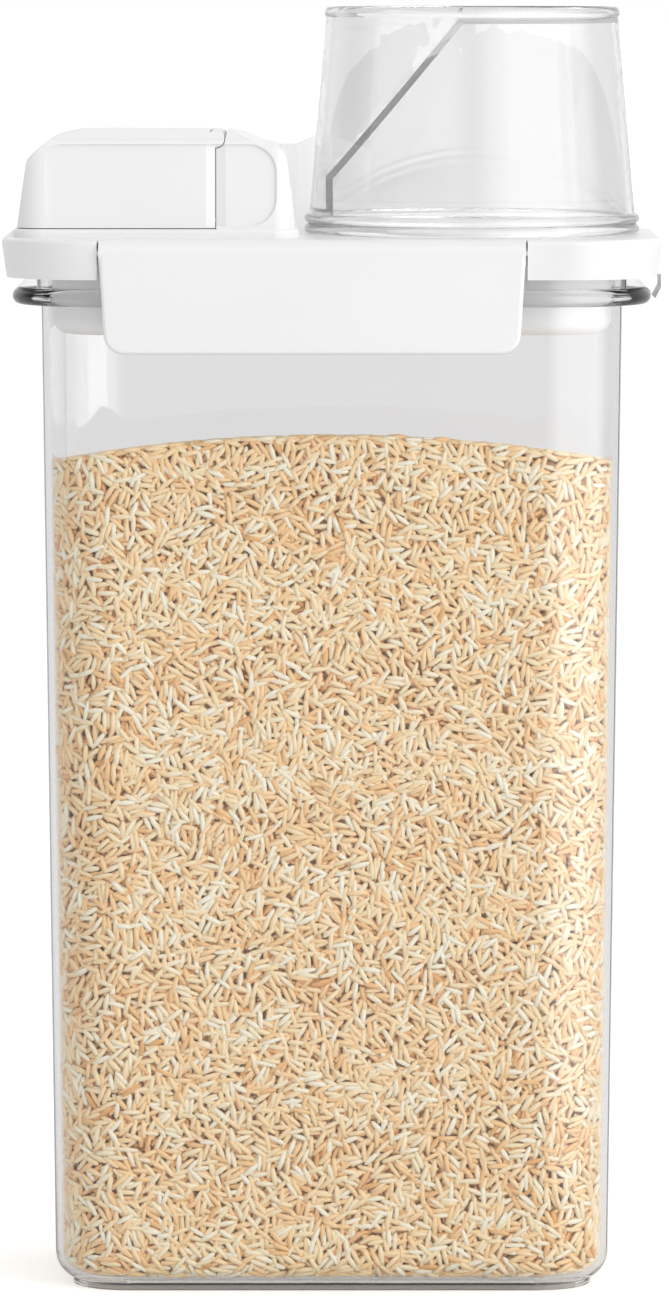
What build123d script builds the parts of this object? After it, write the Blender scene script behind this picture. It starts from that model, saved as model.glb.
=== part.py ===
from build123d import *
import math
import os

# Rice storage container. Millimetres, +Z up. The origin is under the middle of the foot,
# -Y is the front with its latch, -X is the pouring end and +X is the end with the measuring cup.

# Clear body: a tapered box on a foot rim, with a rounded flange and a neck above it
body_bottom_width = 130.2
body_bottom_depth = 77.0
body_top_width = 135.8
body_top_depth = 82.6
body_corner_radius = 17.5
body_wall = 1.6
body_floor = 1.6
bottom_edge_radius = 7.0
foot_height = 1.0
foot_inset = 4.1
foot_width = 3.2
foot_rounding = 0.5
flange_height = 231.3
flange_thickness = 4.0
flange_overhang = 6.7
flange_edge_flat = 0.16
neck_step = 1.0
neck_height = 5.6
rim_rounding = 0.7

# Rice in the body
rice_gap = 0.15
rice_edge_height = 192.9
rice_crest_height = 199.2
rice_crest_place = 4.0
rice_tilt = 3.7

# Inner lid and its gasket
gasket_gap = 0.05
gasket_height = 1.85
gasket_width = 3.0
tray_clearance = 0.9
tray_depth = 18.4
tray_wall = 1.8
tray_floor = 2.0
tray_draft = 0.4
tray_edge_radius = 4.0
tray_flange_overhang = 0.8
tray_flange_thickness = 2.0

# Outer lid
lid_end_reach = 2.5
lid_side_reach = 2.0
lid_corner_radius = 22.0
lid_plate = 2.0
lid_wall = 2.0
lid_edge_radius = 1.0
skirt_height = 9.2
skirt_lean = 1.2
clip_gap = 0.1
clip_wall = 1.4
clip_height = 3.6
bead_length = 10.0
bead_reach = 0.9
bead_height = 0.8
bead_spacing = 42.0
tab_width = 24.0
tab_reach = 2.9
tab_drop = 6.4
tab_thickness = 1.4
tab_root_height = 2.6
tab_bend_radius = 1.6
tab_corner_radius = 3.0

# Loaf-shaped spout housing on a low plinth: a flip cap left of the seam and a fixed block right of it
plinth_height = 2.0
plinth_margin = 0.9
plinth_edge_radius = 0.8
housing_end_margin = 3.6
housing_length = 65.1
housing_depth = 62.0
housing_height = 22.9
housing_wall = 1.8
crown_drop = 1.9
left_corner_radius = 6.0
right_corner_radius = 5.0
face_edge_radius = 1.8
left_wall_height = 16.1
left_wall_lean = 2.4
left_shoulder_reach = 7.0
left_shoulder_drop = 2.2
left_shoulder_run = 8.7
left_low_radius = 4.0
left_high_radius = 10.0
crown_run = 3.4
right_shoulder_run = 7.5
right_shoulder_drop = 3.5
right_shelf_drop = 0.7
right_wall_lean = 2.4
right_crown_radius = 12.0
right_shelf_radius = 6.0
right_corner_round = 4.5
panel_recess = 0.6
panel_side_margin = 4.4
panel_top_margin = 3.2
panel_bottom_margin = 0.6
panel_left_radius = 4.0
panel_right_radius = 6.5

# Seam and hinge of the flip cap
cap_length = 46.5
seam_gap = 0.2
valley_half_width = 2.3
valley_depth = 0.55
hinge_drop = 2.0
cap_open_angle = 100.0
socket_gap = 0.2
stop_depth = 0.5
knuckle_radius = 1.9
knuckle_length = 7.6
cap_knuckle_length = 18.0
hinge_pin_radius = 0.8
running_gap = 0.05
knuckle_side_gap = 0.3
knuckle_relief = 0.3
cap_floor_gap = 0.2

# Pouring duct under the flip cap and the seal in the cap
duct_run = 27.9
duct_length = 29.0
duct_depth = 44.0
duct_wall = 1.6
duct_corner_radius = 8.0
duct_foot_reach = 0.6
duct_foot_height = 1.5
duct_rim_height = 17.0
duct_rim_flat = 0.3
duct_gap = 0.2
seal_height = 2.4
seal_margin = 1.2
seal_gap = 0.1
seal_skirt_wall = 0.9
seal_skirt_drop = 1.3

# Latch flaps at the front and the back
latch_place = -4.5
latch_top_width = 98.6
latch_bottom_width = 95.8
latch_height = 26.3
latch_thickness = 2.2
latch_stand_off = 1.1
latch_corner_radius = 4.8
latch_edge_radius = 0.9
latch_barrel_radius = 3.0
latch_side_gap = 0.4
latch_recess_gap = 0.15
latch_pin_radius = 0.9
pin_fit_gap = 0.02
pin_seat_length = 3.2
pin_boss_height = 5.2
lip_step = 2.0
hook_length = 72.0
hook_reach = 2.8
hook_height = 2.4
hook_gap = 0.4
hook_rounding = 0.6

# Measuring cup, stored mouth down
cup_end_margin = 44.0
cup_mouth_radius = 38.8
cup_end_radius = 34.2
cup_height = 53.3
cup_wall = 1.6
cup_end_wall = 1.5
cup_foot_height = 2.3
cup_foot_wall = 1.7
cup_foot_bulge = 0.4
cup_bead_radius = 1.2
cup_bead_count = 2
cup_rest_gap = 0.05
slope_top_run = 2.4
slope_low_run = 32.8
slope_low_height = 13.4
slope_wall = 1.5
shelf_height = 4.6
shelf_wall = 1.4
seat_gap = 0.4
seat_width = 1.8
seat_height = 1.2

# Horn of the fixed block, which curves round the cup behind it
horn_gap = 1.6
horn_wall = 1.8
horn_height = 20.6
horn_rise = 2.2
horn_reach = 5.0
horn_back = 25.0
horn_front = 4.0

# Widths and places that follow
lid_width = body_top_width + 2 * (flange_overhang + lid_end_reach)
lid_depth = body_top_depth + 2 * (flange_overhang + lid_side_reach)
housing_left = housing_end_margin - lid_width / 2
housing_right = housing_left + housing_length
seam_place = housing_left + cap_length
duct_place = housing_left + duct_run
cup_place = lid_width / 2 - cup_end_margin
slope_top_place = cup_place - slope_top_run
slope_low_place = cup_place - slope_low_run

# Heights that follow
flange_top = flange_height + flange_thickness
rim_height = flange_top + neck_height
tray_flange_low = rim_height + gasket_gap + gasket_height
tray_flange_high = tray_flange_low + tray_flange_thickness
tray_low = tray_flange_low - tray_depth
lid_under = tray_flange_high + seal_gap
lid_top = lid_under + lid_plate
skirt_low = lid_top - skirt_height
plinth_top = lid_top + plinth_height
housing_top = plinth_top + housing_height
hinge_height = housing_top - hinge_drop
duct_rim = plinth_top + duct_rim_height
cup_low = lid_top + cup_rest_gap
cup_top = cup_low + cup_height
latch_front = lid_depth / 2 + latch_stand_off
latch_axis_place = latch_front - latch_barrel_radius
latch_axis_height = lid_top - latch_barrel_radius
latch_low = lid_top - latch_height

# How far a cut runs past what it cuts, and how closely an edge is looked up by its place
far = 400.0
cut_past = 1.0
pick_tolerance = 0.01


def slab(width, depth, radius, low, high, place=0.0):
    """An upright block with rounded corners in plan."""
    return Pos(place, 0, low) * extrude(RectangleRounded(width, depth, radius), amount=high - low)


def tapered_slab(size_low, size_high, radius, low, high):
    """A block whose width and depth change evenly with height."""
    bottom = Pos(0, 0, low) * RectangleRounded(*size_low, radius)
    top = Pos(0, 0, high) * RectangleRounded(*size_high, radius)
    return loft([bottom, top], ruled=True)


def bottom_edges(solid):
    return solid.faces().sort_by(Axis.Z)[0].edges()


def top_edges(solid):
    return solid.faces().sort_by(Axis.Z)[-1].edges()


def edges_at(solid, axis, place):
    """The edges that lie at one place along an axis."""
    return solid.edges().filter_by_position(axis, place - pick_tolerance, place + pick_tolerance)


def block(x_low, x_high, y_low, y_high, z_low, z_high):
    """A plain box between two corners."""
    size = (x_high - x_low, y_high - y_low, z_high - z_low)
    middle = ((x_low + x_high) / 2, (y_low + y_high) / 2, (z_low + z_high) / 2)
    return Pos(*middle) * Box(*size)


def rod_along_y(radius, length, place, height):
    return Pos(place, 0, height) * Rot(90, 0, 0) * Cylinder(radius, length)


def rod_along_x(radius, length, place, depth, height):
    return Pos(place, depth, height) * Rot(0, 90, 0) * Cylinder(radius, length)


def body_size(height, inset=0.0):
    """Width and depth of the tapered body at a height, less an inset on every side."""
    share = (height - foot_height) / (flange_height - foot_height)
    width = body_bottom_width + (body_top_width - body_bottom_width) * share
    depth = body_bottom_depth + (body_top_depth - body_bottom_depth) * share
    return width - 2 * inset, depth - 2 * inset


def body_space(inset, low, high, edge_radius):
    """The tapered inside of the body, drawn in by an inset, with its bottom edge rounded."""
    radius = body_corner_radius - inset
    space = tapered_slab(body_size(low, inset), body_size(high, inset), radius, low, high)
    return fillet(bottom_edges(space), edge_radius)


def container_body():
    outside = body_space(0.0, foot_height, flange_top, bottom_edge_radius)
    top_width, top_depth = body_size(flange_height)
    flange = slab(
        top_width + 2 * flange_overhang,
        top_depth + 2 * flange_overhang,
        body_corner_radius + flange_overhang,
        flange_height,
        flange_top,
    )
    flange = fillet(top_edges(flange) + bottom_edges(flange), (flange_thickness - flange_edge_flat) / 2)
    neck = slab(
        top_width + 2 * neck_step,
        top_depth + 2 * neck_step,
        body_corner_radius + neck_step,
        flange_height + flange_thickness / 2,
        rim_height,
    )
    foot_size = body_size(foot_height, foot_inset)
    foot_radius = body_corner_radius - foot_inset
    foot = slab(*foot_size, foot_radius, 0, foot_height + body_floor / 2)
    hollow = slab(
        foot_size[0] - 2 * foot_width,
        foot_size[1] - 2 * foot_width,
        foot_radius - foot_width,
        -cut_past,
        foot_height,
    )
    foot = fillet(bottom_edges(foot), foot_rounding) - hollow
    inside = body_space(
        body_wall, foot_height + body_floor, rim_height + cut_past, bottom_edge_radius - body_wall
    )
    body = outside + flange + neck + foot - inside
    return fillet(edges_at(body, Axis.Z, rim_height), rim_rounding)


def rice_fill():
    """The rice, arched a little from side to side and heaped towards the front."""
    floor_height = foot_height + body_floor
    heap_high = rice_crest_height + body_top_depth * math.sin(math.radians(rice_tilt))
    heap = body_space(body_wall + rice_gap, floor_height, heap_high, bottom_edge_radius - body_wall)
    surface = ThreePointArc(
        (-body_top_width / 2, rice_edge_height),
        (rice_crest_place, rice_crest_height),
        (body_top_width / 2, rice_edge_height),
    )
    sides = Polyline(
        (-body_top_width / 2, rice_edge_height),
        (-body_top_width / 2, 0),
        (body_top_width / 2, 0),
        (body_top_width / 2, rice_edge_height),
    )
    under = extrude(Plane.XZ * make_face(Curve() + [surface, sides]), amount=body_top_depth, both=True)
    tilted = Pos(0, 0, rice_crest_height) * Rot(-rice_tilt, 0, 0) * Pos(0, 0, -rice_crest_height) * under
    return heap & tilted


def tray_size(inset=0.0):
    """Width and depth of the inner lid's plug where it passes the rim."""
    return body_size(rim_height, body_wall + tray_clearance + inset)


def lid_tray():
    low_size = tuple(size - tray_draft for size in tray_size())
    radius = body_corner_radius - body_wall - tray_clearance
    plug = tapered_slab(low_size, tray_size(), radius, tray_low, tray_flange_high)
    plug = fillet(bottom_edges(plug), tray_edge_radius)
    flange = slab(*tray_flange_size(), tray_flange_radius(), tray_flange_low, tray_flange_high)
    hollow = tapered_slab(
        tuple(size - 2 * tray_wall for size in low_size),
        tray_size(tray_wall),
        radius - tray_wall,
        tray_low + tray_floor,
        tray_flange_high + cut_past,
    )
    hollow = fillet(bottom_edges(hollow), tray_edge_radius - tray_wall)
    passage = slab(
        duct_length - 2 * duct_wall,
        duct_depth - 2 * duct_wall,
        duct_corner_radius - duct_wall,
        tray_low - cut_past,
        tray_low + tray_floor + cut_past,
        duct_place,
    )
    return plug + flange - hollow - passage


def tray_flange_size(margin=0.0):
    """Width and depth of the inner lid's flange, grown by a margin on every side."""
    grown = neck_step + tray_flange_overhang + margin
    return body_top_width + 2 * grown, body_top_depth + 2 * grown


def tray_flange_radius(margin=0.0):
    return body_corner_radius + neck_step + tray_flange_overhang + margin


def lid_gasket():
    """A flat silicone ring that lies between the rim of the body and the inner lid's flange."""
    width = body_top_width + 2 * neck_step
    depth = body_top_depth + 2 * neck_step
    radius = body_corner_radius + neck_step
    low = rim_height + gasket_gap
    outside = slab(width, depth, radius, low, tray_flange_low)
    inside = slab(
        width - 2 * gasket_width,
        depth - 2 * gasket_width,
        radius - gasket_width,
        low - cut_past,
        tray_flange_low + cut_past,
    )
    return outside - inside


def housing_profile():
    """The housing's outline from the front, with the flat crown in the middle."""
    crown = housing_top
    left_high = housing_left + left_shoulder_reach
    crown_end = seam_place + crown_run
    shelf_start = crown_end + right_shoulder_run
    corners = [
        (housing_left, plinth_top),
        (housing_left + left_wall_lean, plinth_top + left_wall_height),
        (left_high, crown - left_shoulder_drop),
        (left_high + left_shoulder_run, crown),
        (crown_end, crown),
        (shelf_start, crown - right_shoulder_drop),
        (housing_right - right_wall_lean, crown - right_shoulder_drop - right_shelf_drop),
        (housing_right, plinth_top),
    ]
    radii = [
        0,
        left_low_radius,
        left_high_radius,
        left_high_radius,
        right_crown_radius,
        right_shelf_radius,
        right_corner_round,
        0,
    ]
    return make_face(FilletPolyline(*corners, radius=radii, close=True))


def crown_radius():
    """Radius of the shallow arch across the housing's top."""
    half = housing_depth / 2
    return (half**2 + crown_drop**2) / (2 * crown_drop)


def housing_solid(inset=0.0):
    """The whole loaf, cap and block together, drawn in by an inset and then open below."""
    front_view = housing_profile()
    low = plinth_top
    if inset:
        drawn_in = offset(front_view, amount=-inset)
        front_view = drawn_in + Pos(0, -2 * inset) * drawn_in
        low -= inset
    loaf = extrude(Plane.XZ * front_view, amount=housing_depth, both=True)
    crown = rod_along_x(crown_radius() - inset, far, 0, 0, housing_top - crown_radius())
    return loaf & crown & housing_plan(inset, low, housing_top + cut_past)


def housing_plan(inset, low, high):
    """The housing's outline from above, with the larger corner radius at the pouring end."""
    half = housing_depth / 2 - inset
    left = housing_left + inset
    right = housing_right - inset
    outline = FilletPolyline(
        (left, -half),
        (right, -half),
        (right, half),
        (left, half),
        radius=[
            left_corner_radius - inset,
            right_corner_radius - inset,
            right_corner_radius - inset,
            left_corner_radius - inset,
        ],
        close=True,
    )
    return Pos(0, 0, low) * extrude(make_face(outline), amount=high - low)


def panel_cuts():
    """The shallow recessed panels in the housing's front and back."""
    left = housing_left + left_wall_lean + panel_side_margin
    right = housing_right - panel_side_margin
    low = plinth_top + panel_bottom_margin
    high = housing_top - panel_top_margin
    radii = [panel_left_radius, panel_right_radius, panel_right_radius, panel_left_radius]
    outline = FilletPolyline((left, low), (right, low), (right, high), (left, high), radius=radii, close=True)
    sheet = extrude(Plane.XZ * make_face(outline), amount=panel_recess, both=True)
    return Pos(0, -housing_depth / 2, 0) * sheet + Pos(0, housing_depth / 2, 0) * sheet


def seam_valleys():
    """The soft valleys that run down both panels along the seam."""
    face = housing_depth / 2 - panel_recess
    outer = face + valley_depth
    low = plinth_top + panel_bottom_margin
    high = housing_top - panel_top_margin
    outline = Polyline(
        (seam_place - 2 * valley_half_width, -outer),
        (seam_place, valley_depth - face),
        (seam_place + 2 * valley_half_width, -outer),
        close=True,
    )
    front = Pos(0, 0, low) * extrude(make_face(outline), amount=high - low)
    return front + mirror(front, about=Plane.XZ)


def edge_rounding(side):
    """What is cut away to round the edge between the arched top and the front or back."""
    place = housing_depth / 2 - face_edge_radius
    reach = crown_radius() - face_edge_radius
    height = housing_top - crown_radius() + math.sqrt(reach**2 - place**2)
    depths = sorted((side * place, side * housing_depth))
    corner = block(-far / 2, far / 2, *depths, height, housing_top + cut_past)
    return corner - rod_along_x(face_edge_radius, far, 0, side * place, height)


def housing_outside():
    return housing_solid() - edge_rounding(-1) - edge_rounding(1) - panel_cuts() - seam_valleys()


def knuckle_spans():
    """Start and end along Y of the fixed block's two knuckles."""
    start = cap_knuckle_length / 2 + knuckle_side_gap
    return [(start, start + knuckle_length), (-start - knuckle_length, -start)]


def barrel_spans():
    """Start and end along Y of the cap's round end, between and beyond the block's knuckles."""
    half = cap_knuckle_length / 2
    start = pin_reach()
    end = housing_depth / 2
    return [(-half, half), (start, end), (-end, -start)]


def pin_reach():
    """How far from the middle the hinge bore runs."""
    return knuckle_spans()[0][1] + knuckle_side_gap


def hinge_rod(radius, low, high):
    return Pos(0, (low + high) / 2, 0) * rod_along_y(radius, high - low, seam_place, hinge_height)


def spout_cap():
    """The flip cap: the loaf left of the seam, hollow below, with its round end and seal seat."""
    left_side = block(-far, seam_place - seam_gap / 2, -far, far, plinth_top + cap_floor_gap, far)
    shell = (housing_outside() & left_side) - housing_solid(housing_wall)
    inside = housing_solid(housing_wall) & left_side
    seat_low = duct_rim + seal_gap + seal_height
    seat = seal_ring(seal_margin, seat_low, far) & inside
    skirt = seal_ring_wall(seat_low - seal_skirt_drop) & inside
    shell = shell + seat + skirt
    for low, high in knuckle_spans():
        room = knuckle_side_gap
        shell -= hinge_rod(knuckle_radius + knuckle_relief, low - room, high + room)
    for low, high in barrel_spans():
        shell += hinge_rod(hinge_drop, low, high) & housing_outside()
    return shell - hinge_rod(hinge_pin_radius + running_gap, -pin_reach(), pin_reach())


def duct_outline(grow, low, high):
    """A block with the duct's plan, grown on every side."""
    return slab(
        duct_length + 2 * grow, duct_depth + 2 * grow, duct_corner_radius + grow, low, high, duct_place
    )


def seal_ring(margin, low, high):
    """A ring over the duct's rim, wider than its wall by a margin on both sides."""
    opening = duct_outline(-duct_wall - margin, low - cut_past, high + cut_past)
    return duct_outline(margin, low, high) - opening


def seal_ring_wall(low):
    """The thin wall of the cap that holds the seal from outside."""
    inner = seal_margin + seal_gap / 2
    opening = duct_outline(inner, low - cut_past, far + cut_past)
    return duct_outline(inner + seal_skirt_wall, low, far) - opening


def spout_seal():
    low = duct_rim + seal_gap
    return seal_ring(seal_margin, low, low + seal_height)


def spout_collar():
    """The pouring duct, which stands on the inner lid's floor and passes through the outer lid."""
    low = tray_low + tray_floor
    tube = duct_outline(0, low, duct_rim)
    foot = duct_outline(duct_foot_reach, low, low + duct_foot_height)
    passage = duct_outline(-duct_wall, low - cut_past, duct_rim + cut_past)
    collar = tube + foot - passage
    return fillet(edges_at(collar, Axis.Z, duct_rim), (duct_wall - duct_rim_flat) / 2)


def cap_hinge_pin():
    """The pin lies in the fixed block's knuckles and the cap's knuckle turns on it."""
    end = knuckle_spans()[0][1]
    return hinge_rod(hinge_pin_radius, -end, end)


def lid_shell():
    """The outer lid's plate and leaning skirt."""
    low_size = (lid_width - 2 * skirt_lean, lid_depth - 2 * skirt_lean)
    outside = tapered_slab(low_size, (lid_width, lid_depth), lid_corner_radius, skirt_low, lid_top)
    outside = fillet(top_edges(outside), lid_edge_radius)
    inner_low = (low_size[0] - 2 * lid_wall, low_size[1] - 2 * lid_wall)
    inner_high = (lid_width - 2 * lid_wall, lid_depth - 2 * lid_wall)
    inside = tapered_slab(inner_low, inner_high, lid_corner_radius - lid_wall, skirt_low, lid_under)
    return outside, outside - inside


def clip_ring():
    """The wall under the outer lid that locates the inner lid, with snap beads under its flange."""
    low = lid_under - clip_height
    grown = clip_gap + clip_wall
    ring = slab(*tray_flange_size(grown), tray_flange_radius(grown), low, lid_under)
    ring -= slab(
        *tray_flange_size(clip_gap), tray_flange_radius(clip_gap), low - cut_past, lid_under + cut_past
    )
    half_depth = tray_flange_size(clip_gap)[1] / 2
    bead_top = tray_flange_low - clip_gap
    for side in (-1, 1):
        for place in (-bead_spacing, 0, bead_spacing):
            edge = sorted((side * (half_depth - bead_reach), side * (half_depth + clip_wall / 2)))
            half = bead_length / 2
            ring += block(place - half, place + half, *edge, bead_top - bead_height, bead_top)
    return ring


def lift_tab():
    """The small lip at the cup end that a finger lifts the lid by."""
    inner = lid_width / 2 - skirt_lean - lid_wall / 2
    outer = lid_width / 2 - skirt_lean
    high = skirt_low + tab_root_height
    low = high - tab_root_height - tab_drop
    nose = outer + tab_reach
    corners = [
        (inner, skirt_low),
        (inner, high),
        (outer + tab_thickness / 2, high),
        (nose, skirt_low),
        (nose, skirt_low - tab_drop / 2),
        (nose - tab_thickness, low),
        (nose - 2 * tab_thickness, low + tab_thickness / 2),
        (nose - tab_thickness, skirt_low - tab_drop / 2),
        (nose - tab_thickness, skirt_low),
    ]
    radii = [0, 0, tab_bend_radius, tab_bend_radius, tab_bend_radius, 0, 0, 0, 0]
    profile = make_face(FilletPolyline(*corners, radius=radii, close=True))
    tab = extrude(Plane.XZ * profile, amount=tab_width / 2, both=True)
    return tab & slab(2 * nose, tab_width, tab_corner_radius, low, high)


def cap_path():
    """What the fixed block gives up to the open cap, which leans over it."""
    reach = hinge_drop + socket_gap
    upright = block(
        seam_place - cut_past, seam_place + reach, -far, far, hinge_height - stop_depth, housing_top + far
    )
    leaning = Rot(0, cap_open_angle - 90, 0) * block(0, reach, -far, far, -stop_depth, far)
    return upright + Pos(seam_place, 0, hinge_height) * leaning


def fixed_block():
    """The part of the housing right of the seam, with the round socket of the cap's end."""
    right_side = block(seam_place + seam_gap / 2, far, -far, far, plinth_top, far)
    solid = housing_outside() & right_side
    solid -= cap_path()
    for low, high in barrel_spans():
        solid -= hinge_rod(hinge_drop + socket_gap, low - knuckle_side_gap, high + knuckle_side_gap)
    return solid


def block_hollow():
    """The inside of the fixed block, open to the underside of the lid."""
    left = seam_place + seam_gap / 2 + housing_wall
    space = housing_solid(housing_wall) & block(left, far, -far, far, plinth_top - far, far)
    socket = hinge_drop + socket_gap + housing_wall
    space -= hinge_rod(socket, -housing_depth, housing_depth)
    space -= block(left - cut_past, seam_place + socket, -far, far, hinge_height, far)
    right = housing_right - housing_wall
    depth = housing_depth / 2 - housing_wall
    shaft = block(left, right, -depth, depth, lid_under - cut_past, plinth_top + housing_wall)
    plan = housing_plan(housing_wall, lid_under - cut_past, plinth_top + housing_wall)
    return space + (shaft & plan)


def block_knuckles():
    """The fixed knuckles, trimmed to the loaf's outline."""
    knuckles = [hinge_rod(knuckle_radius, low, high) for low, high in knuckle_spans()]
    return (knuckles[0] + knuckles[1]) & housing_solid()


def horn_plan(inset):
    """The horn from above: between the fixed block, the stored cup's circle and a slanted back."""
    front = horn_front + inset
    left = housing_right - horn_wall - housing_wall + inset
    tip = (housing_right + horn_reach - inset, horn_back - inset)
    heel = (left, housing_depth / 2 - right_corner_radius / 2 - inset)
    outline = make_face(Polyline((left, front), (tip[0], front), tip, heel, close=True))
    clear_radius = cup_mouth_radius + cup_bead_radius + horn_gap + inset
    return outline - Pos(cup_place, 0) * Circle(clear_radius)


def cup_horn():
    """The solid horn that rises behind the stored cup from the fixed block, before it is hollowed."""
    low = lid_top - lid_plate / 2
    plan = Pos(0, 0, low) * extrude(horn_plan(0.0), amount=far / 4)
    left = housing_right - housing_depth
    right = housing_right + horn_reach
    top = lid_top + horn_height
    side = Polyline(
        (left, low), (right, low), (right, top + horn_rise), (housing_right, top), (left, top), close=True
    )
    return plan & extrude(Plane.XZ * make_face(side), amount=far / 2, both=True)


def horn_hollow():
    """The inside of the horn, open to the underside of the lid."""
    low = lid_under - cut_past
    return Pos(0, 0, low) * extrude(horn_plan(horn_wall), amount=lid_top + horn_height - horn_wall - low)


def cup_seat():
    """The low ring that stands inside the mouth of the stored cup."""
    outer = cup_mouth_radius - cup_wall - seat_gap
    ring = extrude(Circle(outer) - Circle(outer - seat_width), amount=seat_height + lid_plate / 2)
    return Pos(cup_place, 0, lid_top - lid_plate / 2) * ring


def latch_room(side):
    """The space cut in the lid for one latch flap, its barrel and its swing."""
    half = latch_top_width / 2 + latch_side_gap
    left = latch_place - half
    right = latch_place + half
    barrel = rod_along_x(
        latch_barrel_radius + latch_recess_gap,
        right - left,
        latch_place,
        side * latch_axis_place,
        latch_axis_height,
    )
    back = latch_axis_place - latch_barrel_radius - latch_recess_gap
    lip = latch_axis_place - lip_step
    below = block(left, right, *sorted((side * back, side * far)), skirt_low - cut_past, latch_axis_height)
    above = block(left, right, *sorted((side * lip, side * far)), latch_axis_height, far)
    return barrel + below + above


def pin_bosses(side):
    """Thick places in the skirt that hold the ends of one latch pin."""
    half = latch_top_width / 2 + latch_side_gap
    inner = latch_axis_place - latch_barrel_radius - latch_recess_gap
    low = latch_axis_height - pin_boss_height / 2
    depths = sorted((side * inner, side * lid_depth / 2))
    length = pin_seat_length + lid_wall / 2
    left = block(latch_place - half - length, latch_place - half, *depths, low, lid_under)
    right = block(latch_place + half, latch_place + half + length, *depths, low, lid_under)
    return left + right


def latch_pin_length():
    return latch_top_width + 2 * latch_side_gap + 2 * pin_seat_length


def latch_pin(side):
    return rod_along_x(
        latch_pin_radius, latch_pin_length(), latch_place, side * latch_axis_place, latch_axis_height
    )


def lid_cover():
    outside, shell = lid_shell()
    plinth = housing_plan(-plinth_margin, lid_top - lid_plate / 2, plinth_top)
    plinth = fillet(top_edges(plinth), plinth_edge_radius)
    cover = shell + clip_ring() + lift_tab() + plinth + fixed_block() + cup_horn() + cup_seat()
    cover = cover - block_hollow() - horn_hollow() + block_knuckles()
    cover -= hinge_rod(hinge_pin_radius + pin_fit_gap, -pin_reach(), pin_reach())
    cover -= duct_outline(duct_gap, lid_under - cut_past, plinth_top + cut_past)
    for side in (-1, 1):
        cover = cover - latch_room(side) + (pin_bosses(side) & outside)
        cover -= rod_along_x(
            latch_pin_radius + pin_fit_gap,
            latch_pin_length() + pin_fit_gap,
            latch_place,
            side * latch_axis_place,
            latch_axis_height,
        )
    return cover


def latch(side):
    """One latch flap: a barrel on its pin, a wide plate and a hook rib that catches the flange."""
    top = latch_axis_height
    corners = [
        (latch_place - latch_bottom_width / 2, latch_low),
        (latch_place + latch_bottom_width / 2, latch_low),
        (latch_place + latch_top_width / 2, top),
        (latch_place - latch_top_width / 2, top),
    ]
    radii = [latch_corner_radius, latch_corner_radius, 0, 0]
    outline = make_face(FilletPolyline(*corners, radius=radii, close=True))
    plate = extrude(Plane.XZ * outline, amount=latch_thickness)
    plate = Pos(0, latch_thickness - latch_front, 0) * plate
    rim = edges_at(plate, Axis.Y, -latch_front)
    rim = rim.filter_by_position(Axis.Z, latch_low - cut_past, top - pick_tolerance)
    plate = fillet(rim, latch_edge_radius)
    barrel = rod_along_x(latch_barrel_radius, latch_top_width, latch_place, -latch_axis_place, top)
    hook_high = flange_height - hook_gap
    plate_inner = latch_thickness - latch_front
    hook = block(
        latch_place - hook_length / 2,
        latch_place + hook_length / 2,
        plate_inner - latch_thickness / 2,
        plate_inner + hook_reach,
        hook_high - hook_height,
        hook_high,
    )
    tip = hook.faces().sort_by(Axis.Y)[-1].edges().filter_by(Axis.X)
    hook = fillet(tip, hook_rounding)
    flap = plate + barrel + hook
    flap -= rod_along_x(latch_pin_radius + running_gap, far, latch_place, -latch_axis_place, top)
    if side > 0:
        flap = mirror(flap, about=Plane.XZ)
    return flap


def cup_space(inset, low, high):
    """The cup's tapered round shape, drawn in by an inset."""
    bottom = Pos(cup_place, 0, low) * Circle(cup_radius(low) - inset)
    top = Pos(cup_place, 0, high) * Circle(cup_radius(high) - inset)
    return loft([bottom, top], ruled=True)


def cup_radius(height):
    share = (height - cup_low) / cup_height
    return cup_mouth_radius + (cup_end_radius - cup_mouth_radius) * share


def cup_outside():
    """The cup's outer form: a tapered wall between the two beads of its lip and its rounded foot."""
    wall_start = cup_low + 2 * cup_bead_count * cup_bead_radius
    foot_start = cup_top - cup_foot_height
    middle = cup_radius(wall_start)
    foot = cup_radius(foot_start)
    outline = [
        Line((middle, wall_start), (foot, foot_start)),
        ThreePointArc(
            (foot, foot_start),
            (foot + cup_foot_bulge, foot_start + cup_foot_height / 2),
            (foot - cup_foot_bulge, cup_top),
        ),
        Polyline((foot - cup_foot_bulge, cup_top), (0, cup_top), (0, cup_low), (middle, cup_low)),
    ]
    for bead in range(cup_bead_count):
        start = cup_low + 2 * bead * cup_bead_radius
        outline.append(
            ThreePointArc(
                (middle, start),
                (middle + cup_bead_radius, start + cup_bead_radius),
                (middle, start + 2 * cup_bead_radius),
            )
        )
    return Pos(cup_place, 0, 0) * revolve(Plane.XZ * make_face(Curve() + outline), Axis.Z)


def slope_line(shift):
    """Two functions of the slanted wall's face, moved up and left by a shift."""
    end_height = cup_top - cup_foot_height
    low_height = cup_low + slope_low_height
    rise = (end_height - low_height) / (slope_top_place - slope_low_place)
    lift = shift * math.hypot(1, rise)

    def height_at(place):
        return low_height + rise * (place - slope_low_place) + lift

    def place_at(height):
        return slope_low_place + (height - lift - low_height) / rise

    return height_at, place_at


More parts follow.
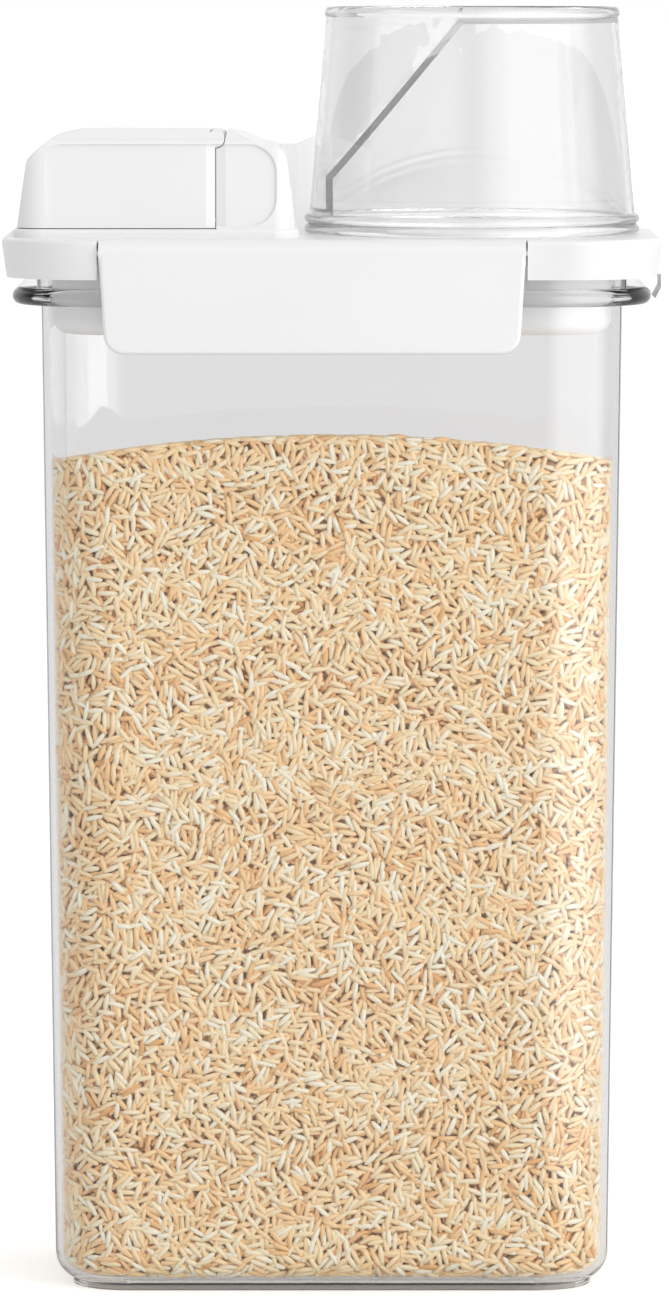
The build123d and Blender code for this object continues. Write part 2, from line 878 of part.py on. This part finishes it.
def measuring_cup():
    """The cup mouth down: a tapered wall, a beaded lip, a foot ring and a slanted inner wall."""
    end_outside = cup_top - cup_foot_height
    end_inside = end_outside - cup_end_wall
    shelf_low = cup_low + shelf_height
    cup = cup_outside()

    height_at, place_at = slope_line(-slope_wall / 2)
    wall_place = slope_low_place + slope_wall / 2
    measure = make_face(
        Polyline(
            (-far, cup_low - cut_past),
            (far, cup_low - cut_past),
            (far, end_inside),
            (place_at(end_inside), end_inside),
            (wall_place, height_at(wall_place)),
            (wall_place, shelf_low),
            (-far, shelf_low),
            close=True,
        )
    )
    inside = cup_space(cup_wall, cup_low - cut_past, cup_top)
    cup -= inside & extrude(Plane.XZ * measure, amount=far / 4, both=True)

    height_at, place_at = slope_line(slope_wall / 2)
    wall_place = slope_low_place - slope_wall / 2
    recess = make_face(
        Polyline(
            (-far, shelf_low + shelf_wall),
            (wall_place, shelf_low + shelf_wall),
            (wall_place, height_at(wall_place)),
            (place_at(end_outside + cut_past), end_outside + cut_past),
            (-far, end_outside + cut_past),
            close=True,
        )
    )
    cup -= inside & extrude(Plane.XZ * recess, amount=far / 4, both=True)
    foot_space = Pos(cup_place, 0, end_outside) * extrude(
        Circle(cup_end_radius - cup_foot_wall), amount=cup_foot_height + cut_past
    )
    return cup - foot_space


def front_latch():
    return latch(-1)


def rear_latch():
    return latch(1)


def front_latch_pin():
    return latch_pin(-1)


def rear_latch_pin():
    return latch_pin(1)


pieces = [
    container_body,
    rice_fill,
    lid_cover,
    lid_tray,
    lid_gasket,
    spout_collar,
    spout_cap,
    spout_seal,
    cap_hinge_pin,
    front_latch,
    front_latch_pin,
    rear_latch,
    rear_latch_pin,
    measuring_cup,
]

os.makedirs("parts", exist_ok=True)
for piece in pieces:
    export_step(Part() + piece(), f"parts/{piece.__name__}.step")
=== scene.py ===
import math

import bpy
import numpy as np
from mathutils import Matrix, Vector
from mathutils.bvhtree import BVHTree

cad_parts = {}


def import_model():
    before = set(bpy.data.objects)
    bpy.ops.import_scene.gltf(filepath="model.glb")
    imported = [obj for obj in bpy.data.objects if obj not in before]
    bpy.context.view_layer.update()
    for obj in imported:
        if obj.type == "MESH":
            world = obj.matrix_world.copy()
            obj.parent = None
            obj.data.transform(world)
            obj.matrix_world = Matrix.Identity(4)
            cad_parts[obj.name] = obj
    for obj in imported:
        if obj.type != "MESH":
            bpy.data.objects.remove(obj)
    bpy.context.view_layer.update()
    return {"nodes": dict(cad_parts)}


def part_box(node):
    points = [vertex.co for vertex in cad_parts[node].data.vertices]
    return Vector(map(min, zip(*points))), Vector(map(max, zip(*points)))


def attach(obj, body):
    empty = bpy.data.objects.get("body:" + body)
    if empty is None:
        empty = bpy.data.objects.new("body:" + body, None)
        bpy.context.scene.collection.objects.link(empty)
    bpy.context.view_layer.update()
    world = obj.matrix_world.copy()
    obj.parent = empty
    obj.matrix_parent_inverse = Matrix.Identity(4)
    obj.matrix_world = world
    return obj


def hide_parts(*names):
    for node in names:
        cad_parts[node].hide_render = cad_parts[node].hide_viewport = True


# Rice storage container. Metres, +Z up. -Y is the front, -X the pouring end, +X the cup end.

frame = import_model()
nodes = frame["nodes"]

# The photograph's camera, which looks down a little from the front
camera_place = (0.00064, -2.0, 0.3152)
camera_pitch = 4.778
camera_reach = 100.0
focal_pixels = 8456.3
picture_height = 1300.0
sensor_size = 36.0

# Light: one soft lamp from the right and a sky that is a little brighter on that side
sky_light = 0.86
sky_tilt = 0.22
key_place = (1.15, -1.0, 0.75)
key_power = 9.0
key_size = 1.3
aim_height = 0.15

# Floor, lifted to white where it is seen and a little where it is mirrored or seen through something
floor_half = 30.0
floor_colour = (0.8, 0.8, 0.8)
floor_roughness = 0.9
floor_lift = 0.45
mirrored_floor_lift = 0.12

# The surround that is mirrored and seen through the clear plastic: dark only far up and down
surround_dark = 0.15
surround_clear_height = 0.72
surround_dark_height = 0.93

# Two sides of the surround, seen in reflections only: light is added to the right and front and taken away
# to the left. In the floor the added light fades near the object.
bright_side = {"direction": (0.82, -0.57, 0.0), "start": 0.55, "full": 0.85, "amount": 1.8}
dim_side = {"direction": (-0.95, -0.30, 0.0), "start": 0.40, "full": 0.90, "amount": 0.85}
floor_glow_fade = 0.10

# Plastics, silicone and steel
plastic_ior = 1.5
mottle_scale = 30.0
mottle_stops = (0.3, 0.7)
gloss_scale = 90.0
gloss_range = (-0.05, 0.07)
peel_scale = 1400.0
peel_detail = 3.0
peel_strength = 0.05
relief_depth = 0.0001
lamp_passage = (0.99, 0.99, 0.99)
silicone_dark = (0.74, 0.75, 0.76)
silicone_light = (0.8, 0.81, 0.82)
silicone_scale = 60.0
silicone_roughness = 0.6
silicone_grain_scale = 900.0
silicone_grain_strength = 0.1
steel_colour = (0.62, 0.62, 0.63)
steel_scale = 500.0
steel_roughness = (0.22, 0.38)

# Rice colours, from deep and tan to chalky, and along each grain from end to end. The deep end is mostly
# painted shade and painted scattered light on the deeper grains
grain_colours = (
    (0.0, (0.84, 0.46, 0.17)),
    (0.35, (1.0, 0.68, 0.35)),
    (0.7, (1.0, 0.81, 0.51)),
    (1.0, (1.0, 0.94, 0.76)),
)
grain_end_colours = (
    (0.0, (0.9, 0.84, 0.76)),
    (0.22, (1.0, 1.0, 1.0)),
    (0.8, (1.0, 0.99, 0.97)),
    (1.0, (0.92, 0.86, 0.78)),
)
grain_roughness = 0.42
# The core's dark browns are painted shade in the gaps between the grains, under a random speckle
core_painted_shade_colours = (
    (0.35, (0.50, 0.22, 0.06)),
    (0.65, (0.86, 0.50, 0.20)),
)
core_scale = 500.0
core_detail = 4.0
core_roughness = 0.9

# Rice grains, each with rings at shares of its length that have shares of its width
rice_seed = 7
grain_length = 0.0050
grain_length_spread = 0.0007
grain_width = 0.00142
grain_width_spread = 0.00015
grain_flatness = 0.84
grain_sides = 5
grain_rings = ((0.12, 0.72), (0.5, 1.0), (0.88, 0.72))
grain_shades = 8
shade_spread = 0.24

# How the grains are laid: the room that each keeps along its axis and beside it, the rice over its ends,
# and how far the core lies behind them
voxel = 0.00045
axis_points = 10
grain_beside = 0.20
rice_cover = 0.00025
core_inset = 0.0026
rice_levels = ("lower", "middle", "upper")
rice_layers = (
    # candidates, depth from, depth to, tilt, share of the length kept free each way, tone (lower for deeper
    # layers: painted shade)
    (230000, 0.00060, 0.00095, 0.07, 0.24, 0.66),
    (150000, 0.00100, 0.00150, 0.18, 0.24, 0.42),
    (90000, 0.00160, 0.00240, 0.35, 0.24, 0.12),
)

# Limits for the arithmetic: from where a normal counts as upright, and the least area divided by
steep_normal = 0.9
least_area = 1e-12


def material(name):
    """A new node material with its Principled shader."""
    made = bpy.data.materials.new(name)
    made.use_nodes = True
    tree = made.node_tree
    return made, tree, tree.nodes["Principled BSDF"]


def noise(tree, scale, detail=2.0):
    """Noise over the object's own coordinates."""
    place = tree.nodes.new("ShaderNodeTexCoord")
    made = tree.nodes.new("ShaderNodeTexNoise")
    made.inputs["Scale"].default_value = scale
    made.inputs["Detail"].default_value = detail
    tree.links.new(place.outputs["Object"], made.inputs["Vector"])
    return made.outputs["Fac"]


def ramp(tree, source, stops):
    """A colour ramp over a value."""
    made = tree.nodes.new("ShaderNodeValToRGB")
    points = made.color_ramp.elements
    while len(points) < len(stops):
        points.new(0.5)
    for point, (place, colour) in zip(points, stops):
        point.position = place
        point.color = (*colour, 1.0)
    tree.links.new(source, made.inputs["Fac"])
    return made.outputs["Color"]


def mottle(tree, scale, dark, light):
    """A soft mix of two colours."""
    return ramp(tree, noise(tree, scale), tuple(zip(mottle_stops, (dark, light))))


def uneven(tree, scale, low, high):
    """A value that wanders between two limits."""
    made = tree.nodes.new("ShaderNodeMapRange")
    made.inputs["To Min"].default_value = low
    made.inputs["To Max"].default_value = high
    tree.links.new(noise(tree, scale), made.inputs["Value"])
    return made.outputs["Result"]


def bump(tree, shader, source, strength):
    """A fine relief in the surface."""
    made = tree.nodes.new("ShaderNodeBump")
    made.inputs["Strength"].default_value = strength
    made.inputs["Distance"].default_value = relief_depth
    tree.links.new(source, made.inputs["Height"])
    tree.links.new(made.outputs["Normal"], shader.inputs["Normal"])


def combine(tree, operation, first, second):
    """A math node over two values or sockets."""
    made = tree.nodes.new("ShaderNodeMath")
    made.operation = operation
    for value, socket in zip((first, second), made.inputs):
        if isinstance(value, float):
            socket.default_value = value
        else:
            tree.links.new(value, socket)
    return made.outputs["Value"]


def smooth_step(tree, source, start, end, low, high):
    """A value that goes smoothly from low to high between two limits of the source."""
    made = tree.nodes.new("ShaderNodeMapRange")
    made.interpolation_type = "SMOOTHSTEP"
    made.inputs["From Min"].default_value = start
    made.inputs["From Max"].default_value = end
    made.inputs["To Min"].default_value = low
    made.inputs["To Max"].default_value = high
    tree.links.new(source, made.inputs["Value"])
    return made.outputs["Result"]


def vector_math(tree, operation, source):
    """A vector math node over a socket."""
    made = tree.nodes.new("ShaderNodeVectorMath")
    made.operation = operation
    tree.links.new(source, made.inputs[0])
    return made


def switch(tree, choice, first, second):
    """The first shader where the choice is 0, and the second where it is 1."""
    made = tree.nodes.new("ShaderNodeMixShader")
    tree.links.new(choice, made.inputs["Fac"])
    tree.links.new(first, made.inputs[1])
    tree.links.new(second, made.inputs[2])
    return made.outputs["Shader"]


def moulded_white(name, light, dark, roughness):
    """White moulded plastic: a faint mottle, uneven gloss and a fine orange peel."""
    made, tree, shader = material(name)
    tree.links.new(mottle(tree, mottle_scale, dark, light), shader.inputs["Base Color"])
    gloss = uneven(tree, gloss_scale, *(roughness + change for change in gloss_range))
    tree.links.new(gloss, shader.inputs["Roughness"])
    bump(tree, shader, noise(tree, peel_scale, peel_detail), peel_strength)
    shader.inputs["IOR"].default_value = plastic_ior
    return made


def clear_plastic(name, tint, density, straight):
    """Clear plastic that darkens along long paths, with lamplight and a share of sight going straight on."""
    made, tree, shader = material(name)
    shader.inputs["Base Color"].default_value = (*tint, 1.0)
    shader.inputs["Transmission Weight"].default_value = 1.0
    shader.inputs["IOR"].default_value = plastic_ior
    shader.inputs["Roughness"].default_value = 0.0
    path = tree.nodes.new("ShaderNodeLightPath").outputs
    through = combine(tree, "MAXIMUM", path["Is Shadow Ray"], path["Is Diffuse Ray"])
    through = combine(tree, "MAXIMUM", through, straight)
    open_to_light = tree.nodes.new("ShaderNodeBsdfTransparent")
    open_to_light.inputs["Color"].default_value = (*lamp_passage, 1.0)
    output = tree.nodes["Material Output"]
    mixed = switch(tree, through, shader.outputs["BSDF"], open_to_light.outputs["BSDF"])
    tree.links.new(mixed, output.inputs["Surface"])
    absorb = tree.nodes.new("ShaderNodeVolumeAbsorption")
    absorb.inputs["Color"].default_value = (0.0, 0.0, 0.0, 1.0)
    absorb.inputs["Density"].default_value = density
    tree.links.new(absorb.outputs["Volume"], output.inputs["Volume"])
    return made


def silicone():
    """Pale soft silicone with a fine matte grain."""
    made, tree, shader = material("silicone_soft")
    tree.links.new(mottle(tree, silicone_scale, silicone_dark, silicone_light), shader.inputs["Base Color"])
    shader.inputs["Roughness"].default_value = silicone_roughness
    bump(tree, shader, noise(tree, silicone_grain_scale), silicone_grain_strength)
    return made


def steel():
    """Drawn steel with uneven gloss."""
    made, tree, shader = material("steel_drawn")
    shader.inputs["Base Color"].default_value = (*steel_colour, 1.0)
    shader.inputs["Metallic"].default_value = 1.0
    tree.links.new(uneven(tree, steel_scale, *steel_roughness), shader.inputs["Roughness"])
    return made


def attribute(tree, name):
    """A named value that the mesh carries."""
    made = tree.nodes.new("ShaderNodeAttribute")
    made.attribute_name = name
    return made.outputs["Fac"]


def grain_material():
    """Rice: each grain has its own tan to chalky tone, made darker in deeper layers as painted shade, with
    darker ends.
    """
    made, tree, shader = material("rice_grain")
    joined = tree.nodes.new("ShaderNodeMix")
    joined.data_type = "RGBA"
    joined.blend_type = "MULTIPLY"
    joined.inputs["Factor"].default_value = 1.0
    tree.links.new(ramp(tree, attribute(tree, "tone_and_depth_shade"), grain_colours), joined.inputs["A"])
    tree.links.new(ramp(tree, attribute(tree, "along"), grain_end_colours), joined.inputs["B"])
    tree.links.new(joined.outputs["Result"], shader.inputs["Base Color"])
    shader.inputs["Roughness"].default_value = grain_roughness
    return made


def core_material():
    """The deep rice that shows between the grains, in darker browns that are painted shade."""
    made, tree, shader = material("rice_depth_painted_shade")
    speckle = ramp(tree, noise(tree, core_scale, core_detail), core_painted_shade_colours)
    tree.links.new(speckle, shader.inputs["Base Color"])
    shader.inputs["Roughness"].default_value = core_roughness
    return made


def dress(made, *names):
    """Gives carried-over nodes their material."""
    for name in names:
        data = nodes[name].data
        data.materials.clear()
        data.materials.append(made)


def new_piece(name, mesh, made, body):
    """A visible piece that rides on a body."""
    piece = bpy.data.objects.new(name, mesh)
    bpy.context.scene.collection.objects.link(piece)
    mesh.materials.append(made)
    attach(piece, body)
    return piece


def surface_samples(node, count, rng):
    """Points and outward normals spread evenly over a node's surface."""
    data = nodes[node].data
    data.calc_loop_triangles()
    corners = np.empty(len(data.loop_triangles) * 3, np.int32)
    data.loop_triangles.foreach_get("vertices", corners)
    spots = np.empty(len(data.vertices) * 3, np.float32)
    data.vertices.foreach_get("co", spots)
    a, b, c = np.moveaxis(spots.reshape(-1, 3)[corners.reshape(-1, 3)], 1, 0)
    cross = np.cross(b - a, c - a)
    area = np.linalg.norm(cross, axis=1)
    chosen = rng.choice(len(area), count, p=area / area.sum())
    u, v = rng.random((2, count, 1))
    flip = u + v > 1
    u, v = np.where(flip, 1 - u, u), np.where(flip, 1 - v, v)
    points = a[chosen] + u * (b - a)[chosen] + v * (c - a)[chosen]
    normals = cross[chosen] / np.maximum(area[chosen], least_area)[:, None]
    return points, normals


def tangent_directions(normals, rng, tilt):
    """Random directions near the surface's plane, tilted by up to an angle in radians."""
    helper = np.where(np.abs(normals[:, 2:3]) < steep_normal, [[0.0, 0.0, 1.0]], [[1.0, 0.0, 0.0]])
    first = np.cross(helper, normals)
    first /= np.linalg.norm(first, axis=1)[:, None]
    second = np.cross(normals, first)
    angle = rng.random((len(normals), 1)) * 2 * math.pi
    lean = (rng.random((len(normals), 1)) - 0.5) * 2 * tilt
    flat = np.cos(angle) * first + np.sin(angle) * second
    return np.cos(lean) * flat + np.sin(lean) * normals


def covered_by_rice(shell, points):
    """Which points lie inside the fill with a little rice over them."""
    covered = np.empty(len(points), bool)
    for i, point in enumerate(points.tolist()):
        spot, normal, _, away = shell.find_nearest(point)
        covered[i] = away > rice_cover and (Vector(point) - spot).dot(normal) < 0
    return covered


def lay_grains(rng):
    """Grains laid against the inside of the wall layer by layer, few where others already lie."""
    data = nodes["rice_fill"].data
    shell = BVHTree.FromPolygons([v.co for v in data.vertices], [tuple(p.vertices) for p in data.polygons])
    low = np.array(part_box("rice_fill")[0]) - 2 * grain_length
    high = np.array(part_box("rice_fill")[1]) + 2 * grain_length
    taken = np.zeros(np.ceil((high - low) / voxel).astype(int), bool)
    along = np.linspace(-1.0, 1.0, axis_points)
    laid = []
    # Each layer's tone is lower the deeper it lies: painted shade on the grains behind the front ones
    for count, depth_from, depth_to, tilt, kept, tone_and_depth_shade in rice_layers:
        points, normals = surface_samples("rice_fill", count, rng)
        directions = tangent_directions(normals, rng, tilt)
        depth = depth_from + (depth_to - depth_from) * rng.random((count, 1))
        centres = points - depth * normals
        sideways = np.cross(normals, directions)
        lengths = grain_length + grain_length_spread * rng.uniform(-1, 1, count)
        widths = grain_width + grain_width_spread * rng.uniform(-1, 1, count)
        half = directions * lengths[:, None] / 2
        covered = covered_by_rice(shell, centres - half) & covered_by_rice(shell, centres + half)
        for i in np.flatnonzero(covered):
            line = centres[i] + np.outer(along * lengths[i] * kept, directions[i])
            beside = sideways[i] * widths[i] * grain_beside
            body = np.concatenate([line, line + beside, line - beside])
            x, y, z = ((body - low) / voxel).astype(int).T
            if taken[x, y, z].any():
                continue
            taken[x, y, z] = True
            laid.append((centres[i], directions[i], normals[i], lengths[i], widths[i], tone_and_depth_shade))
    return laid


def spindle_faces():
    """Faces of one grain: its two points come first, then its rings."""
    faces = []
    last = 2 + (len(grain_rings) - 1) * grain_sides
    for s in range(grain_sides):
        t = (s + 1) % grain_sides
        faces.append((0, 2 + t, 2 + s))
        faces.append((1, last + s, last + t))
        for r in range(len(grain_rings) - 1):
            here = 2 + r * grain_sides
            there = here + grain_sides
            faces.append((here + s, here + t, there + t, there + s))
    return faces


def grain_mesh(name, laid, rng):
    """One mesh of many grains, each a short spindle with a tone, darker in deeper layers as painted shade,
    and its own length coordinate.
    """
    per = 2 + len(grain_rings) * grain_sides
    count = len(laid)
    centres, axes, normals, lengths, widths, tones_and_depth_shades = (np.array(values) for values in zip(*laid))
    lengths = lengths[:, None]
    widths = widths[:, None]
    wide = np.cross(normals, axes)
    wide /= np.linalg.norm(wide, axis=1)[:, None]
    thick = np.cross(axes, wide)
    verts = np.empty((count, per, 3))
    along = np.empty((count, per))
    verts[:, 0] = centres - axes * lengths / 2
    verts[:, 1] = centres + axes * lengths / 2
    along[:, 0] = 0.0
    along[:, 1] = 1.0
    for r, (place, fat) in enumerate(grain_rings):
        middle = centres + axes * lengths * (place - 0.5)
        for s in range(grain_sides):
            turn = s * 2 * math.pi / grain_sides
            index = 2 + r * grain_sides + s
            out = wide * math.cos(turn) + thick * math.sin(turn) * grain_flatness
            verts[:, index] = middle + out * widths / 2 * fat
            along[:, index] = place
    starts = (np.arange(count) * per).tolist()
    faces = [tuple(corner + start for corner in face) for start in starts for face in spindle_faces()]
    mesh = bpy.data.meshes.new(name)
    mesh.from_pydata(verts.reshape(-1, 3).tolist(), [], faces)
    mesh.polygons.foreach_set("use_smooth", [True] * len(mesh.polygons))
    # Random tone around each layer's tone; the lower tones of the deeper layers are painted shade
    steps = np.clip(rng.normal(tones_and_depth_shades, shade_spread), 0.0, 1.0)
    steps = np.round(steps * (grain_shades - 1)) / (grain_shades - 1)
    shade_map = mesh.attributes.new("tone_and_depth_shade", "FLOAT", "POINT")
    shade_map.data.foreach_set("value", np.repeat(steps, per))
    length_map = mesh.attributes.new("along", "FLOAT", "POINT")
    length_map.data.foreach_set("value", along.reshape(-1))
    return mesh


def rice_core(made):
    """The rice behind the grains, a little inside the fill on every side."""
    low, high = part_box("rice_fill")
    mesh = nodes["rice_fill"].data.copy()
    middle = (Vector(low) + Vector(high)) / 2
    shrink = [1 - 2 * core_inset / (top - bottom) for bottom, top in zip(low, high)]
    for vertex in mesh.vertices:
        away = vertex.co - middle
        vertex.co = middle + Vector(a * s for a, s in zip(away, shrink))
    mesh.materials.clear()
    return new_piece("rice_core", mesh, made, "container")


def rice():
    """The grains in groups by side and level, and the core behind them."""
    rng = np.random.default_rng(rice_seed)
    laid = lay_grains(rng)
    made = grain_material()
    low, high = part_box("rice_fill")
    width, depth, height = (top - bottom for bottom, top in zip(low, high))
    groups = {}
    for grain in laid:
        centre = grain[0]
        x, y = centre[0] / width, centre[1] / depth
        level = rice_levels[int((centre[2] - low[2]) / height * len(rice_levels))]
        if abs(y) > abs(x):
            side = "front" if y < 0 else "back"
        else:
            side = "left" if x < 0 else "right"
        groups.setdefault(f"{side}_{level}", []).append(grain)
    pieces = [
        new_piece(f"rice_grains_{name}", grain_mesh(f"rice_grains_{name}", grains, rng), made, "container")
        for name, grains in groups.items()
    ]
    core = rice_core(core_material())
    for piece in [*pieces, core]:
        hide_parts("rice_fill")


def area_lamp(name, place, size, power):
    """A soft square lamp that faces the object and isn't mirrored in it."""
    lamp = bpy.data.lights.new(name, "AREA")
    lamp.size = size
    lamp.energy = power
    holder = bpy.data.objects.new(name, lamp)
    bpy.context.scene.collection.objects.link(holder)
    holder.location = place
    aim = Vector((0, 0, aim_height)) - Vector(place)
    holder.rotation_euler = aim.to_track_quat("-Z", "Y").to_euler()
    holder.visible_glossy = False


def reflected_side(tree, towards, glossy, direction, start, full, amount):
    """An amount that grows towards one side, for reflections only."""
    facing = vector_math(tree, "DOT_PRODUCT", towards)
    facing.inputs[1].default_value = direction
    side = smooth_step(tree, facing.outputs["Value"], start, full, 0.0, amount)
    return combine(tree, "MULTIPLY", side, glossy)


def white_background(tree, strength):
    """A white world shader whose strength is a value or a socket."""
    made = tree.nodes.new("ShaderNodeBackground")
    made.inputs["Color"].default_value = (1.0, 1.0, 1.0, 1.0)
    if isinstance(strength, float):
        made.inputs["Strength"].default_value = strength
    else:
        tree.links.new(strength, made.inputs["Strength"])
    return made.outputs["Background"]


def world():
    """A sky for light, white for the camera, and a surround for what is mirrored or seen through plastic."""
    made = bpy.data.worlds.new("studio")
    bpy.context.scene.world = made
    made.use_nodes = True
    tree = made.node_tree
    tree.nodes.clear()
    path = tree.nodes.new("ShaderNodeLightPath").outputs
    glossy = path["Is Glossy Ray"]
    towards = tree.nodes.new("ShaderNodeTexCoord").outputs["Generated"]
    split = tree.nodes.new("ShaderNodeSeparateXYZ")
    tree.links.new(towards, split.inputs["Vector"])
    height = combine(tree, "ABSOLUTE", split.outputs["Z"], 0.0)
    around = smooth_step(tree, height, surround_clear_height, surround_dark_height, 1.0, surround_dark)
    around = combine(tree, "ADD", around, reflected_side(tree, towards, glossy, **bright_side))
    around = combine(tree, "SUBTRACT", around, reflected_side(tree, towards, glossy, **dim_side))
    around = combine(tree, "MAXIMUM", around, surround_dark)
    mirrored = combine(tree, "MAXIMUM", glossy, path["Is Transmission Ray"])
    sky = combine(tree, "MULTIPLY", split.outputs["X"], sky_light * sky_tilt)
    sky = combine(tree, "ADD", sky, sky_light)
    unseen = switch(tree, mirrored, white_background(tree, sky), white_background(tree, around))
    seen = switch(tree, path["Is Camera Ray"], unseen, white_background(tree, 1.0))
    output = tree.nodes.new("ShaderNodeOutputWorld")
    tree.links.new(seen, output.inputs["Surface"])


def floor_lift_socket(tree):
    """How much the floor is lifted: for sight, for mirrors and glass, and for the glow far to the right."""
    path = tree.nodes.new("ShaderNodeLightPath").outputs
    glossy = path["Is Glossy Ray"]
    mirrored = combine(tree, "MAXIMUM", glossy, path["Is Transmission Ray"])
    for_sight = combine(tree, "MULTIPLY", path["Is Camera Ray"], floor_lift)
    lift = combine(tree, "ADD", for_sight, combine(tree, "MULTIPLY", mirrored, mirrored_floor_lift))
    place = tree.nodes.new("ShaderNodeTexCoord").outputs["Object"]
    away = vector_math(tree, "LENGTH", place).outputs["Value"]
    towards = vector_math(tree, "SCALE", place)
    nearness = combine(tree, "DIVIDE", 1.0, combine(tree, "ADD", away, floor_glow_fade))
    tree.links.new(nearness, towards.inputs["Scale"])
    glow = reflected_side(tree, towards.outputs["Vector"], glossy, **bright_side)
    return combine(tree, "ADD", lift, glow)


def floor():
    """A plain pale floor that looks white where nothing shades it."""
    mesh = bpy.data.meshes.new("floor")
    low, high = -floor_half, floor_half
    mesh.from_pydata([(low, low, 0), (high, low, 0), (high, high, 0), (low, high, 0)], [], [(0, 1, 2, 3)])
    made, tree, shader = material("floor_pale")
    shader.inputs["Base Color"].default_value = (*floor_colour, 1.0)
    shader.inputs["Roughness"].default_value = floor_roughness
    shader.inputs["Specular IOR Level"].default_value = 0.0
    shader.inputs["Emission Color"].default_value = (1.0, 1.0, 1.0, 1.0)
    tree.links.new(floor_lift_socket(tree), shader.inputs["Emission Strength"])
    mesh.materials.append(made)
    piece = bpy.data.objects.new("floor", mesh)
    bpy.context.scene.collection.objects.link(piece)


def camera():
    """The photograph's camera, with no shift."""
    data = bpy.data.cameras.new("camera")
    data.sensor_width = sensor_size
    data.lens = sensor_size * focal_pixels / picture_height
    data.clip_end = camera_reach
    holder = bpy.data.objects.new("camera", data)
    bpy.context.scene.collection.objects.link(holder)
    holder.location = camera_place
    holder.rotation_euler = (math.radians(90 - camera_pitch), 0, 0)
    bpy.context.scene.camera = holder


camera()
world()
floor()
area_lamp("key", key_place, key_size, key_power)
bpy.context.scene.view_settings.view_transform = "Standard"

white = moulded_white("white_moulded", light=(0.88, 0.88, 0.88), dark=(0.86, 0.86, 0.86), roughness=0.3)
# A lighter copy of the same white plastic: painted light that makes up for the shade the tray lies in under
# the lid; the spout collar shares it
inner_white_painted_light = moulded_white("white_inner_painted_light", light=(0.97, 0.97, 0.97), dark=(0.95, 0.95, 0.95), roughness=0.4)
clear = clear_plastic("clear_body", tint=(0.98, 0.98, 0.985), density=18.0, straight=0.0)
clear_cup = clear_plastic("clear_cup", tint=(0.965, 0.965, 0.97), density=6.0, straight=0.09)

dress(clear, "container_body")
dress(clear_cup, "measuring_cup")
dress(white, "lid_cover", "spout_cap", "front_latch", "rear_latch")
dress(inner_white_painted_light, "lid_tray", "spout_collar")
dress(silicone(), "lid_gasket", "spout_seal")
dress(steel(), "cap_hinge_pin", "front_latch_pin", "rear_latch_pin")
rice()
